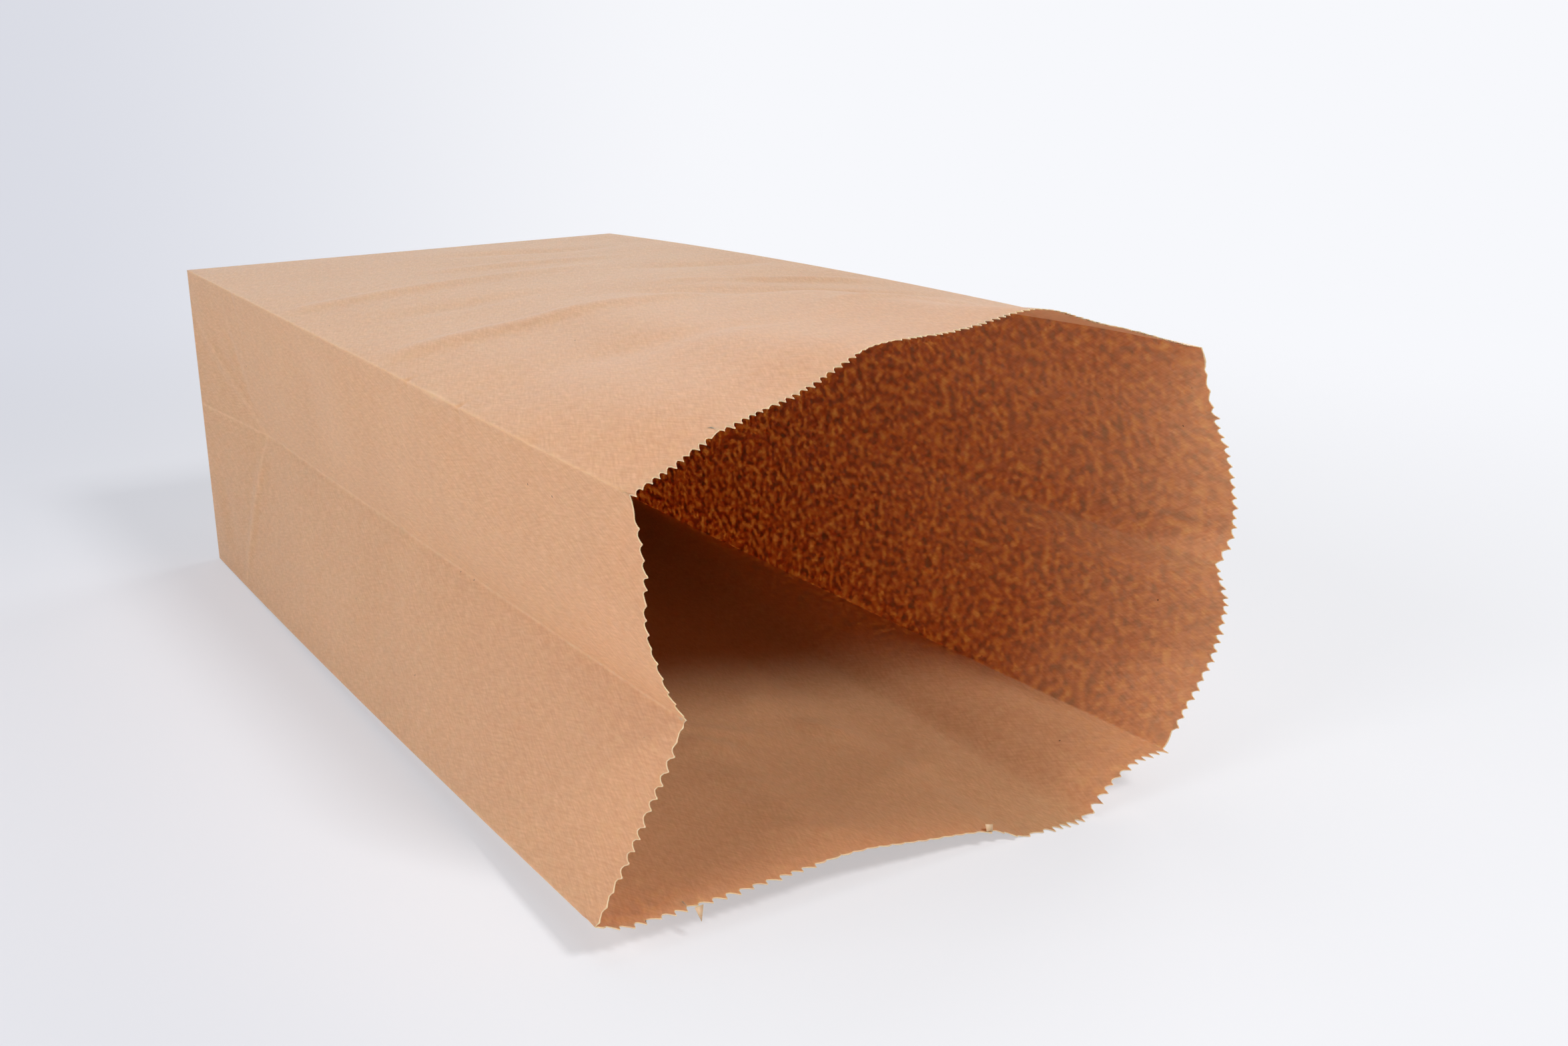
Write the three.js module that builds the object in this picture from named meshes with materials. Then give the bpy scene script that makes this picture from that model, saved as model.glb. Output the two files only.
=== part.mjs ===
import * as THREE from 'three';

// A brown kraft paper lunch bag, empty and open, lying on one of its two broad faces.
// It is one sheet: folded to a tube with a pleated gusset on each narrow side, closed
// by a flat rectangular bottom and cut at the mouth with a saw-toothed knife.
// The mouth looks along -Y, the bottom panel faces +Y and +Z is up from the table.

// Sizes in millimetres
const bagWidth = 155.6;          // each broad face, fold to fold
const bagDepth = 101.6;          // each gusset, fold to fold
const bagLength = 316.5;         // bottom panel to the cut edge
const paperThickness = 0.2;      // one sheet of kraft paper
const toothPitch = 3.1;          // one tooth of the cut edge to the next
const toothDepth = 1.8;          // valley to tip
const archRise = 18.6;           // how far the upper mouth edge springs above its corners
const upperLean = 13.1;          // how far the upper left mouth corner leans inwards
const upperDrop = 3.2;           // how far that corner hangs below the bag's depth
const rightRise = 9.0;           // how far the upper right fold rises towards the mouth
const leftLift = 9.4;            // lower left mouth corner above the table
const rightLift = 12.0;          // lower right mouth corner above the table
const leftFoldIn = 16.4;         // left gusset fold, pushed in at the mouth
const junctionIn = 7.5;          // the same fold pushed in where the bottom creases meet it
const rightFoldOut = 7.4;        // right gusset fold, blown out at the mouth
const rightBulge = 6.6;          // each half of the right gusset, bellied out at the mouth
const leftBulge = 3.8;           // upper half of the left gusset, bellied out at the mouth
const rightReach = 4.0;          // right cut edge leaning out past the mouth plane
const upperRightOut = 2.0;       // upper right mouth corner, spread past the bag's width
const lowerRightIn = 2.8;        // lower right mouth corner, drawn in from the bag's width
const lowerLeftIn = 1.6;         // lower left mouth corner, drawn in from the bag's width
const rightJunctionIn = 2.0;     // right gusset pushed in where the bottom creases meet its fold
const plainBand = 7.5;           // uncut paper behind the tooth line, before the long rows begin

// Shape of each panel at the mouth, from its first fold to its second, as shares of the size above
const archShape = [[0, 0], [0.13, 0.47], [0.25, 0.69], [0.39, 1], [0.52, 0.95], [0.635, 0.97], [0.8, 0.58], [0.94, 0.16], [1, 0]];
const lipShape = [[0, 1], [0.05, 0.82], [0.4, 0.8], [0.52, 0.6], [0.66, 0.36], [0.735, 0], [0.82, 0], [0.88, 0.55], [0.95, 0.97], [1, 1]];
const rightUpperShape = [[0, 0], [0.26, 0.18], [0.54, 0.79], [0.7, 0.88], [0.84, 0.8], [1, 0]];
const rightLowerShape = [[0, 0], [0.12, 0.47], [0.26, 0.98], [0.5, 1], [0.68, 0.68], [0.88, 0.26], [1, 0]];
const leftUpperShape = [[0, 0], [0.28, 0.26], [0.6, 1], [0.84, 0.66], [1, 0]];

// Where the cut edge has torn smooth, as shares of the upper and lower faces from the left
const upperSmooth = [0.36, 0.415];
const lowerSmooth = [0.345, 0.635];
const wornTooth = 0.16;          // what is left of a tooth there

const mix = (a, b, k) => a + (b - a) * k;
const halfWidth = bagWidth / 2;
const toothBase = bagLength - toothDepth;
const junctionAt = bagDepth / 2;

// Smooth line through a few points that never swings past them
function through(points) {
  const n = points.length;
  const slope = [];
  for (let i = 0; i < n - 1; i++) {
    slope.push((points[i + 1][1] - points[i][1]) / (points[i + 1][0] - points[i][0]));
  }
  const tangent = points.map((p, i) => {
    if (i === 0) return slope[0];
    if (i === n - 1) return slope[n - 2];
    if (slope[i - 1] * slope[i] <= 0) return 0;
    return 2 * slope[i - 1] * slope[i] / (slope[i - 1] + slope[i]);
  });
  return (q) => {
    let i = 0;
    while (i < n - 2 && q > points[i + 1][0]) i++;
    const span = points[i + 1][0] - points[i][0];
    const k = Math.min(1, Math.max(0, (q - points[i][0]) / span));
    const a = points[i][1] * (2 * k * k * k - 3 * k * k + 1) + tangent[i] * span * (k * k * k - 2 * k * k + k);
    return a + points[i + 1][1] * (3 * k * k - 2 * k * k * k) + tangent[i + 1] * span * (k * k * k - k * k);
  };
}
const arch = through(archShape);
const lip = through(lipShape);
const rightUpperBelly = through(rightUpperShape);
const rightLowerBelly = through(rightLowerShape);
const leftUpperBelly = through(leftUpperShape);

// The four long folds, at a share s of the way from the bottom panel to the mouth
const upperLeft = (s) => [mix(-halfWidth, upperLean - halfWidth, s), bagDepth - upperDrop * s];
const upperRight = (s) => [halfWidth + upperRightOut * s, bagDepth + rightRise * (1 - (1 - s) * (1 - s))];
const lowerRight = (s) => [halfWidth - lowerRightIn * s, rightLift * Math.pow(s, 1.15)];
const lowerLeft = (s) => [lowerLeftIn * s - halfWidth, leftLift * Math.pow(s, 1.6)];

// How far a gusset is pushed in between its edge (q = 0) and its centre fold (q = 1).
// Next to the bottom panel the creases run from its corners to the centre fold.
function tuck(q, along, atJunction, atMouth) {
  if (along < junctionAt) return atJunction * Math.min(q, along / junctionAt);
  const k = (along - junctionAt) / (bagLength - junctionAt);
  return q * mix(atJunction, atMouth, k);
}

// A point of the outer paper surface; along runs from the bottom panel to the mouth
function paperPoint(panel, q, along) {
  const s = along / bagLength;
  const grow = s * s;
  let x = 0;
  let z = 0;
  let reach = 0;
  if (panel === 'upper') {
    const a = upperLeft(s);
    const b = upperRight(s);
    x = mix(a[0], b[0], q);
    z = mix(a[1], b[1], q) + archRise * arch(q) * grow;
  } else if (panel === 'lower') {
    const a = lowerRight(s);
    const b = lowerLeft(s);
    x = mix(a[0], b[0], q);
    z = mix(a[1], b[1], q) * lip(1 - q);
  } else if (panel === 'rightUpper' || panel === 'rightLower') {
    const a = upperRight(s);
    const b = lowerRight(s);
    const centre = mix(0.5, 0.526, s);
    const isUpper = panel === 'rightUpper';
    const down = isUpper ? q * centre : mix(centre, 1, q);
    const toFold = isUpper ? q : 1 - q;
    const belly = rightBulge * (isUpper ? rightUpperBelly(q) : rightLowerBelly(q)) * grow;
    x = mix(a[0], b[0], down) - tuck(toFold, along, rightJunctionIn, -rightFoldOut) + belly;
    z = mix(a[1], b[1], down);
    reach = rightReach * Math.sin(Math.PI * down) * grow;
  } else {
    const a = upperLeft(s);
    const b = lowerLeft(s);
    const centre = mix(0.45, 0.55, s);
    const isUpper = panel === 'leftUpper';
    const down = isUpper ? (1 - q) * centre : mix(1, centre, q);
    const toFold = isUpper ? 1 - q : q;
    const belly = isUpper ? leftBulge * leftUpperBelly(1 - q) * grow : 0;
    x = mix(a[0], b[0], down) + tuck(toFold, along, junctionIn, leftFoldIn) - belly;
    z = mix(a[1], b[1], down);
  }
  return new THREE.Vector3(x, bagLength / 2 - along - reach, z);
}

// The panels in order round the tube, with the stations across each and its run of teeth
const upperStations = [0, 0.06, 0.13, 0.19, 0.25, 0.32, 0.39, 0.45, 0.52, 0.58, 0.635, 0.69, 0.74, 0.8, 0.87, 0.94, 1];
const lipStations = [0, 0.05, 0.12, 0.21, 0.3, 0.4, 0.46, 0.52, 0.6, 0.66, 0.7, 0.735, 0.82, 0.85, 0.88, 0.915, 0.95, 1];
const halfStations = [0, 0.14, 0.28, 0.42, 0.56, 0.7, 0.85, 1];
const panels = [
  { name: 'upper', stations: upperStations, width: bagWidth },
  { name: 'rightUpper', stations: halfStations, width: bagDepth / 2 },
  { name: 'rightLower', stations: halfStations, width: bagDepth / 2 },
  { name: 'lower', stations: lipStations.map((q) => 1 - q).reverse(), width: bagWidth },
  { name: 'leftLower', stations: halfStations, width: bagDepth / 2 },
  { name: 'leftUpper', stations: halfStations, width: bagDepth / 2 },
];

// Rows along the bag: close together over the bottom creases, then evenly on to the tooth line
const rows = [0, 0.25, 0.5, 0.75, 1].map((k) => k * junctionAt);
const lastRow = toothBase - plainBand;
const evenRows = 10;
for (let i = 1; i <= evenRows; i++) rows.push(mix(junctionAt, lastRow, i / evenRows));

const outer = [];
const faces = [];
const addPoint = (p) => outer.push(p) - 1;
const addFace = (a, b, c) => faces.push([a, b, c]);

// Each row is one closed ring of points; a panel leaves its last point to the next panel
const rings = rows.map((along) => panels.map((panel) =>
  panel.stations.slice(0, -1).map((q) => addPoint(paperPoint(panel.name, q, along)))));
const closed = (ring) => ring.map((run, i) => [...run, ring[(i + 1) % ring.length][0]]);
for (let r = 0; r + 1 < rings.length; r++) {
  const near = closed(rings[r]).flatMap((run, i) => (i ? run.slice(1) : run));
  const far = closed(rings[r + 1]).flatMap((run, i) => (i ? run.slice(1) : run));
  for (let i = 0; i + 1 < near.length; i++) {
    addFace(near[i], far[i], near[i + 1]);
    addFace(near[i + 1], far[i], far[i + 1]);
  }
}

// The flat bottom panel, fanned from its middle
const bottomRing = closed(rings[0]).flatMap((run, i) => (i ? run.slice(1) : run));
const bottomMiddle = addPoint(new THREE.Vector3(0, bagLength / 2, bagDepth / 2));
for (let i = 0; i + 1 < bottomRing.length; i++) addFace(bottomMiddle, bottomRing[i], bottomRing[i + 1]);

// The saw-toothed cut edge: valleys on the tooth line, one leaning tip between each pair
const toothCount = panels.map((panel) => Math.max(6, Math.round(panel.width / toothPitch)));
const valleys = panels.map((panel, i) => {
  const run = [];
  for (let k = 0; k < toothCount[i]; k++) run.push(addPoint(paperPoint(panel.name, k / toothCount[i], toothBase)));
  return run;
});
const inside = (q, range) => q > range[0] && q < range[1];
function toothHeight(panel, q, k) {
  const uneven = 0.86 + 0.14 * Math.sin(k * 2.4 + panel.width);
  if (panel.name === 'upper' && inside(q, upperSmooth)) return wornTooth * toothDepth;
  if (panel.name === 'lower' && inside(1 - q, lowerSmooth)) return wornTooth * toothDepth;
  return uneven * toothDepth;
}
const rim = [];
const lastRing = closed(rings[rings.length - 1]);
closed(valleys).forEach((run, i) => {
  const panel = panels[i];
  const count = toothCount[i];
  for (let k = 0; k < count; k++) {
    const q = (k + 0.4) / count;
    const tip = addPoint(paperPoint(panel.name, q, toothBase + toothHeight(panel, q, k)));
    addFace(run[k], tip, run[k + 1]);
    rim.push(run[k], tip);
  }
  // stitch the coarse ring behind the teeth to the fine tooth line
  const back = lastRing[i];
  let b = 0;
  let v = 0;
  while (b + 1 < back.length || v < count) {
    const nextBack = b + 1 < back.length ? panel.stations[b + 1] : 2;
    const nextValley = v < count ? (v + 1) / count : 2;
    if (nextBack <= nextValley) {
      addFace(back[b], run[v], back[b + 1]);
      b++;
    } else {
      addFace(back[b], run[v], run[v + 1]);
      v++;
    }
  }
});

// The inner side of the paper follows the outer side one thickness further in
const faceNormal = ([a, b, c]) => new THREE.Vector3().subVectors(outer[b], outer[a])
  .cross(new THREE.Vector3().subVectors(outer[c], outer[a])).normalize();
const touching = outer.map(() => []);
for (const face of faces) {
  const normal = faceNormal(face);
  for (let i = 0; i < 3; i++) {
    const corner = outer[face[i]];
    const one = new THREE.Vector3().subVectors(outer[face[(i + 1) % 3]], corner).normalize();
    const two = new THREE.Vector3().subVectors(outer[face[(i + 2) % 3]], corner).normalize();
    touching[face[i]].push({ normal, weight: one.angleTo(two) });
  }
}
const inner = outer.map((p, i) => {
  const mean = new THREE.Vector3();
  for (const { normal, weight } of touching[i]) mean.addScaledVector(normal, weight);
  mean.normalize();
  const least = Math.min(...touching[i].map(({ normal }) => normal.dot(mean)));
  return p.clone().addScaledVector(mean, -paperThickness / Math.max(0.55, least));
});

// One closed sheet: outer side, inner side and the cut edge between them
const total = outer.length;
const index = [];
for (const [a, b, c] of faces) index.push(a, b, c, c + total, b + total, a + total);
for (let i = 0; i < rim.length; i++) {
  const a = rim[i];
  const b = rim[(i + 1) % rim.length];
  index.push(a, a + total, b, b, a + total, b + total);
}
const positions = [...outer, ...inner];

// Stand the bag in the middle of its own outline, resting on the table
const box = new THREE.Box3().setFromPoints(positions);
const shift = new THREE.Vector3(-(box.min.x + box.max.x) / 2, -(box.min.y + box.max.y) / 2, -box.min.z);
const geometry = new THREE.BufferGeometry();
geometry.setAttribute('position', new THREE.Float32BufferAttribute(positions.flatMap((p) => p.clone().add(shift).toArray()), 3));
geometry.setIndex(index);
geometry.computeVertexNormals();

const kraftPaper = new THREE.MeshStandardMaterial({ name: 'kraft_paper', color: 0xb98a62, roughness: 0.85, metalness: 0 });
const bag = new THREE.Mesh(geometry, kraftPaper);
bag.name = 'paper_bag';

const group = new THREE.Group();
group.name = 'paper_lunch_bag';
group.add(bag);
export default group;
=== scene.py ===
import math
import bpy
import numpy as np
from mathutils import Matrix, Vector


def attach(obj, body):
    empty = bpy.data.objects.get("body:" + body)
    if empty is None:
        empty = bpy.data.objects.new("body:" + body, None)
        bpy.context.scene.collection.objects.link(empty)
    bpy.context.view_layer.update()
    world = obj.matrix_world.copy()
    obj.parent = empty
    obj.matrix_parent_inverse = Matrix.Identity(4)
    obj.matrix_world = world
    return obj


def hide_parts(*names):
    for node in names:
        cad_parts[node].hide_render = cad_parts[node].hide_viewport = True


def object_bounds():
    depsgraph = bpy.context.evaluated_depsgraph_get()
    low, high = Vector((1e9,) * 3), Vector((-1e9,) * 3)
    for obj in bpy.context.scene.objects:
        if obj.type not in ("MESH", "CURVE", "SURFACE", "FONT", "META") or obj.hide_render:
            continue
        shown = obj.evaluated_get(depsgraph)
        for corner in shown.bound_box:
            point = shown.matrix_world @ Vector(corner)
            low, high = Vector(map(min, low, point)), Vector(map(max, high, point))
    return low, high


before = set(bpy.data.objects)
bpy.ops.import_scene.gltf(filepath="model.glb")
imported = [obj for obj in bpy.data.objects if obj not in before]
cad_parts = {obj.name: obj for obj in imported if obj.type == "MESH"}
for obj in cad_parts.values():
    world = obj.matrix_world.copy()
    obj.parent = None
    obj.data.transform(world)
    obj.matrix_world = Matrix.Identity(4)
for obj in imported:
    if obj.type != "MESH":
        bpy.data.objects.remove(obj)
cadLow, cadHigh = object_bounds()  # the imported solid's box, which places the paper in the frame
print("frame loaded:", list(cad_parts))

# Camera, found from the bag's own corners: in front of the mouth, to its left and a little above the top face
photoView = {
    "place": (-0.20444, -0.44214, 0.19026),
    "turn": 30.261,  # degrees clockwise from +Y
    "tilt": 17.202,  # degrees down
    "roll": -0.691,
    "lens": 39.83,
}


def addCamera():
    turn, tilt, roll = (math.radians(photoView[k]) for k in ("turn", "tilt", "roll"))
    ahead = Vector((math.sin(turn) * math.cos(tilt), math.cos(turn) * math.cos(tilt), -math.sin(tilt)))
    levelRight = Vector((math.cos(turn), -math.sin(turn), 0))
    levelUp = levelRight.cross(ahead)
    right = levelRight * math.cos(roll) + levelUp * math.sin(roll)
    up = levelUp * math.cos(roll) - levelRight * math.sin(roll)
    data = bpy.data.cameras.new("photoCamera")
    data.lens = photoView["lens"]
    data.sensor_width = 36
    data.sensor_fit = "HORIZONTAL"
    data.clip_start = 0.01
    camera = bpy.data.objects.new("photoCamera", data)
    bpy.context.scene.collection.objects.link(camera)
    camera.matrix_world = Matrix.Translation(photoView["place"]) @ Matrix((right, up, -ahead)).transposed().to_4x4()
    bpy.context.scene.camera = camera


addCamera()
print("camera set")

# The bag, in millimetres; the mouth looks along -Y and the bottom panel faces +Y
bagShape = {
    "width": 155.6,  # each broad face, fold to fold
    "depth": 101.6,  # each gusset, fold to fold
    "length": 316.5,  # bottom panel to the cut edge
    "thickness": 0.2,
    "archRise": 18.6,  # upper mouth edge above its corners
    "upperLean": 13.1,  # upper left mouth corner, leaning in
    "upperDrop": 3.2,
    "rightRise": 9.0,  # upper right fold, rising to the mouth
    "leftLift": 9.4,  # lower mouth corners above the table
    "rightLift": 12.0,
    "leftFoldIn": 16.4,  # left gusset fold, pushed in at the mouth
    "junctionIn": 7.5,  # and where the bottom creases meet it
    "rightFoldOut": 7.4,  # right gusset fold, blown out at the mouth
    "rightJunctionIn": 2.0,
    "rightBulge": 6.6,
    "leftBulge": 3.8,
    "foldCrease": 0.4,  # the sharp line of the left centre fold, and how far it reaches
    "foldCreaseReach": 0.9,
    "rightReach": 4.0,  # right cut edge, leaning out past the mouth
    "upperRightOut": 2.0,
    "lowerRightIn": 2.8,
    "lowerLeftIn": 1.6,
    # left gusset: where its upper crease leaves the bottom edge, as a share of the half gusset,
    # and where its lower crease meets the long fold, as a share of the way to the junction
    "upperCreaseStart": 0.31,
    "lowerCreaseEnd": 0.73,
    "creaseSoftness": 0.004,
    # centre fold of each gusset, as a share of the way down, at the bottom and at the mouth
    "leftCentre": (0.45, 0.55),
    "rightCentre": (0.5, 0.526),
    # the mouth edge of each panel from its first fold to its second, as shares of the sizes above
    "arch": [
        (0, 0), (0.13, 0.47), (0.25, 0.69), (0.39, 1), (0.52, 0.95),
        (0.635, 0.97), (0.8, 0.58), (0.94, 0.16), (1, 0),
    ],
    "lip": [
        (0, 1), (0.05, 0.82), (0.4, 0.8), (0.52, 0.6), (0.66, 0.36),
        (0.735, 0), (0.82, 0), (0.88, 0.55), (0.95, 0.97), (1, 1),
    ],
    "rightUpperBelly": [(0, 0), (0.26, 0.18), (0.54, 0.79), (0.7, 0.88), (0.84, 0.8), (1, 0)],
    "rightLowerBelly": [(0, 0), (0.12, 0.47), (0.26, 0.98), (0.5, 1), (0.68, 0.68), (0.88, 0.26), (1, 0)],
    "leftUpperBelly": [(0, 0), (0.28, 0.26), (0.6, 1), (0.84, 0.66), (1, 0)],
}
halfWidth = bagShape["width"] / 2
bagLength = bagShape["length"]
bagDepth = bagShape["depth"]
junctionAt = bagDepth / 2

# Cut edge: a zigzag knife leaves saw teeth, finer on the upper face, worn or torn away in places
cutEdge = {
    "toothDepth": 1.8,
    # stretches in order round the tube: panel, last mm across it, teeth, depth, where the tip stands in its tooth
    "stretches": [
        ("upper", 17.6, 10, 2.4, 0.16),
        ("upper", 21.0, 1, 2.0, 0.1),
        ("upper", 54.5, 19, 2.3, 0.16),
        ("upper", 65.0, 6, 0.55, 0.2),
        ("upper", 150.0, 49, 2.3, 0.18),
        ("upper", 155.6, 3, 0.7, 0.3),
        ("rightUpper", 5.0, 1, 0.3, 0.5),
        ("rightUpper", 12.0, 2, 0.9, 0.3),
        ("rightUpper", 50.8, 16, 1.7, 0.52),
        ("rightLower", 46.0, 18, 1.7, 0.5),
        ("rightLower", 50.8, 1, 0.4, 0.5),
        ("lower", 37.0, 16, 2.5, 0.28),
        ("lower", 57.0, 5, 1.3, 0.3),
        ("lower", 101.9, 13, 0.3, 0.4),
        ("lower", 153.0, 16, 2.1, 0.23),
        ("lower", 155.6, 1, 0.4, 0.4),
        ("leftLower", 11.3, 3, 0.7, 0.4),
        ("leftLower", 44.1, 10, 1.9, 0.47),
        ("leftLower", 50.8, 2, 0.6, 0.45),
        ("leftUpper", 45.5, 14, 1.6, 0.42),
        ("leftUpper", 50.8, 1, 0.3, 0.4),
    ],
    # panel, mm across, depth behind the teeth
    "slits": [("upper", 19.2, 2.9), ("lower", 131.6, 2.6), ("lower", 92.0, 1.4)],
    "unevenPitch": 0.14,  # shares of a tooth
    "unevenTip": 0.06,
    "toothSizes": [0.6, 0.8, 0.92, 1.0, 1.08, 1.2],  # and how often each comes up
    "toothOdds": [0.1, 0.2, 0.25, 0.25, 0.12, 0.08],
    "notches": (-0.2, 0.12),  # mm up or down
    "wornDepth": 0.6,  # shallower teeth count as worn, and stand this much higher
    "wornRise": 0.3,
    "ragged": 0.05,
    "paleBand": 0.3,  # torn fibres along the edge
    "fineBand": 4.0,  # closely spaced points behind the teeth
    "rowsEnd": 6.0,  # the long rows stop this far behind the teeth
    "seed": 7,
}

# Creases and dents: panel, first end (mm across, mm along), second end, height, half width
paperMarks = [
    ("upper", (-4, 97), (100, 92), 1.3, 6.5),
    ("upper", (-6, 174), (92, 190), 1.3, 7.0),
    ("upper", (84, 160), (104, 206), -1.4, 8.0),
    ("upper", (104, 196), (138, 226), -1.6, 8.0),
    ("upper", (112, 172), (150, 186), 1.3, 6.0),
    ("upper", (96, 150), (120, 178), 0.8, 4.5),
    ("upper", (62, 58), (122, 76), 0.9, 5.5),
    ("upper", (78, 30), (134, 44), -0.9, 7.0),
    ("upper", (20, 132), (70, 138), -0.8, 8.0),
    ("upper", (112, 112), (150, 128), -0.9, 8.0),
    ("upper", (96, 244), (140, 262), 1.0, 7.0),
    ("upper", (30, 232), (80, 262), -0.8, 10.0),
    ("lower", (93, 236), (85, 250), -1.2, 4.5),
    ("lower", (60, 207), (66, 228), -1.0, 5.5),
    ("lower", (94, 275), (92, 294), -1.0, 6.0),
    ("lower", (97, 258), (88, 278), -1.0, 4.5),
    ("lower", (58, 238), (53, 254), -1.3, 4.5),
    ("lower", (100, 222), (70, 246), -0.8, 5.0),
    ("lower", (30, 262), (70, 286), -0.7, 8.0),
    ("lower", (108, 290), (84, 306), -0.8, 5.0),
    ("leftUpper", (35, 0), (0, 50.8), 0.7, 3.6),
    ("leftUpper", (36, 34), (10, 42), -0.5, 4.0),
    ("leftLower", (50.8, 50.8), (0, 37), 0.8, 3.6),
    ("leftLower", (30, 8), (8, 24), -0.6, 7.0),
    ("leftLower", (14, 90), (30, 190), 0.5, 12.0),
    ("rightUpper", (16, 120), (36, 236), 0.7, 9.0),
    ("rightLower", (12, 90), (30, 190), 0.6, 9.0),
]
paintedCreaseHighlights = {"leftUpper": ((35, 0), (0, 50.8)), "leftLower": ((50.8, 50.8), (0, 37))}  # pale lines along these creases, painted as highlights

# Upper left fold: nicks (mm along, depth, half length) and one scuff (mm along, half length)
foldNicks = [(199, 0.55, 0.9), (231, 0.5, 0.8), (270, 0.7, 4.0), (112, 0.3, 1.2)]
foldScuff = (217, 5.0)

# Slack left in a handled sheet; it and the marks fade out over these mm at the folds and the bottom
paperRipple = {"height": 0.28, "longest": 95.0, "shortest": 30.0, "count": 14, "seed": 11}
markFade = {"folds": 12, "bottom": 16}


def mixed(a, b, k):
    return a + (b - a) * k


def smoothStep(low, high, value):
    k = np.clip((value - low) / (high - low), 0, 1)
    return k * k * (3 - 2 * k)


def lineThrough(points):  # smooth line that never swings past its points
    xs, ys = np.array(points, float).T
    slopes = np.diff(ys) / np.diff(xs)
    tangents = np.concatenate(([slopes[0]], np.zeros(len(xs) - 2), [slopes[-1]]))
    for i in range(1, len(xs) - 1):
        if slopes[i - 1] * slopes[i] > 0:
            tangents[i] = 2 * slopes[i - 1] * slopes[i] / (slopes[i - 1] + slopes[i])

    def at(q):
        i = np.clip(np.searchsorted(xs, q, side="right") - 1, 0, len(xs) - 2)
        span = xs[i + 1] - xs[i]
        k = np.clip((q - xs[i]) / span, 0, 1)
        near = ys[i] * (2 * k**3 - 3 * k**2 + 1) + tangents[i] * span * (k**3 - 2 * k**2 + k)
        return near + ys[i + 1] * (3 * k**2 - 2 * k**3) + tangents[i + 1] * span * (k**3 - k**2)

    return at


mouthCurves = ("arch", "lip", "rightUpperBelly", "rightLowerBelly", "leftUpperBelly")
mouthLines = {name: lineThrough(bagShape[name]) for name in mouthCurves}
panelWidths = {
    "upper": bagShape["width"],
    "rightUpper": junctionAt,
    "rightLower": junctionAt,
    "lower": bagShape["width"],
    "leftLower": junctionAt,
    "leftUpper": junctionAt,
}
panelStarts = dict(zip(panelWidths, np.concatenate(([0], np.cumsum(list(panelWidths.values()))[:-1]))))
girth = sum(panelWidths.values())


def foldLines(s):  # the four long folds, as (x, z), a share s of the way from the bottom to the mouth
    shape = bagShape
    upperLeft = (mixed(-halfWidth, shape["upperLean"] - halfWidth, s), bagDepth - shape["upperDrop"] * s)
    upperRight = (halfWidth + shape["upperRightOut"] * s, bagDepth + shape["rightRise"] * (1 - (1 - s) ** 2))
    lowerRight = (halfWidth - shape["lowerRightIn"] * s, shape["rightLift"] * s**1.15)
    lowerLeft = (shape["lowerLeftIn"] * s - halfWidth, shape["leftLift"] * s**1.6)
    return upperLeft, upperRight, lowerRight, lowerLeft


def tuckedIn(toFold, along, crease, atJunction, atMouth):  # gusset depth from its edge (0) to its centre fold (1)
    front = toFold * mixed(atJunction, atMouth, (along - junctionAt) / (bagLength - junctionAt))
    return np.where(along < junctionAt, atJunction * crease, front)


def sheetPoint(panel, q, along):  # a point of the outer side of the paper, before creases and dents
    s = along / bagLength
    grow = s * s
    upperLeft, upperRight, lowerRight, lowerLeft = foldLines(s)
    reach = 0 * q
    if panel == "upper":
        x = mixed(upperLeft[0], upperRight[0], q)
        z = mixed(upperLeft[1], upperRight[1], q) + bagShape["archRise"] * mouthLines["arch"](q) * grow
    elif panel == "lower":
        x = mixed(lowerRight[0], lowerLeft[0], q)
        z = mixed(lowerRight[1], lowerLeft[1], q) * mouthLines["lip"](1 - q)
    elif panel in ("rightUpper", "rightLower"):
        isUpper = panel == "rightUpper"
        centre = mixed(*bagShape["rightCentre"], s)
        down = q * centre if isUpper else mixed(centre, 1, q)
        toFold = q if isUpper else 1 - q
        belly = bagShape["rightBulge"] * mouthLines[panel + "Belly"](q) * grow
        crease = np.minimum(toFold, along / junctionAt)
        tuck = tuckedIn(toFold, along, crease, bagShape["rightJunctionIn"], -bagShape["rightFoldOut"])
        x = mixed(upperRight[0], lowerRight[0], down) - tuck + belly
        z = mixed(upperRight[1], lowerRight[1], down)
        reach = bagShape["rightReach"] * np.sin(math.pi * down) * grow
    else:
        isUpper = panel == "leftUpper"
        centre = mixed(*bagShape["leftCentre"], s)
        down = (1 - q) * centre if isUpper else mixed(1, centre, q)
        toFold = 1 - q if isUpper else q
        belly = bagShape["leftBulge"] * mouthLines["leftUpperBelly"](1 - q) * grow if isUpper else 0
        back = np.clip(along / junctionAt, 0, 1)
        start, end = bagShape["upperCreaseStart"], bagShape["lowerCreaseEnd"]
        if isUpper:
            slope = toFold - start * (1 - back)
            crease = np.minimum((slope + np.sqrt(slope**2 + bagShape["creaseSoftness"])) / 2, back)
        else:
            crease = toFold * np.minimum(1, back / (end + (1 - end) * toFold))
        tuck = tuckedIn(toFold, along, crease, bagShape["junctionIn"], bagShape["leftFoldIn"])
        sharp = np.exp((toFold - 1) * junctionAt / bagShape["foldCreaseReach"])
        tuck = tuck + bagShape["foldCrease"] * sharp * smoothStep(0.9, 1.1, along / junctionAt)
        x = mixed(upperLeft[0], lowerLeft[0], down) + tuck - belly
        z = mixed(upperLeft[1], lowerLeft[1], down)
    return np.stack(np.broadcast_arrays(x, bagLength / 2 - along - reach, z), axis=-1)


def lineApart(across, along, start, end):  # distance from a line on the flat sheet, and the share of the way along it
    run = np.subtract(end, start)
    k = np.clip(((across - start[0]) * run[0] + (along - start[1]) * run[1]) / run.dot(run), 0, 1)
    return np.hypot(across - start[0] - k * run[0], along - start[1] - k * run[1]), k


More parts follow.
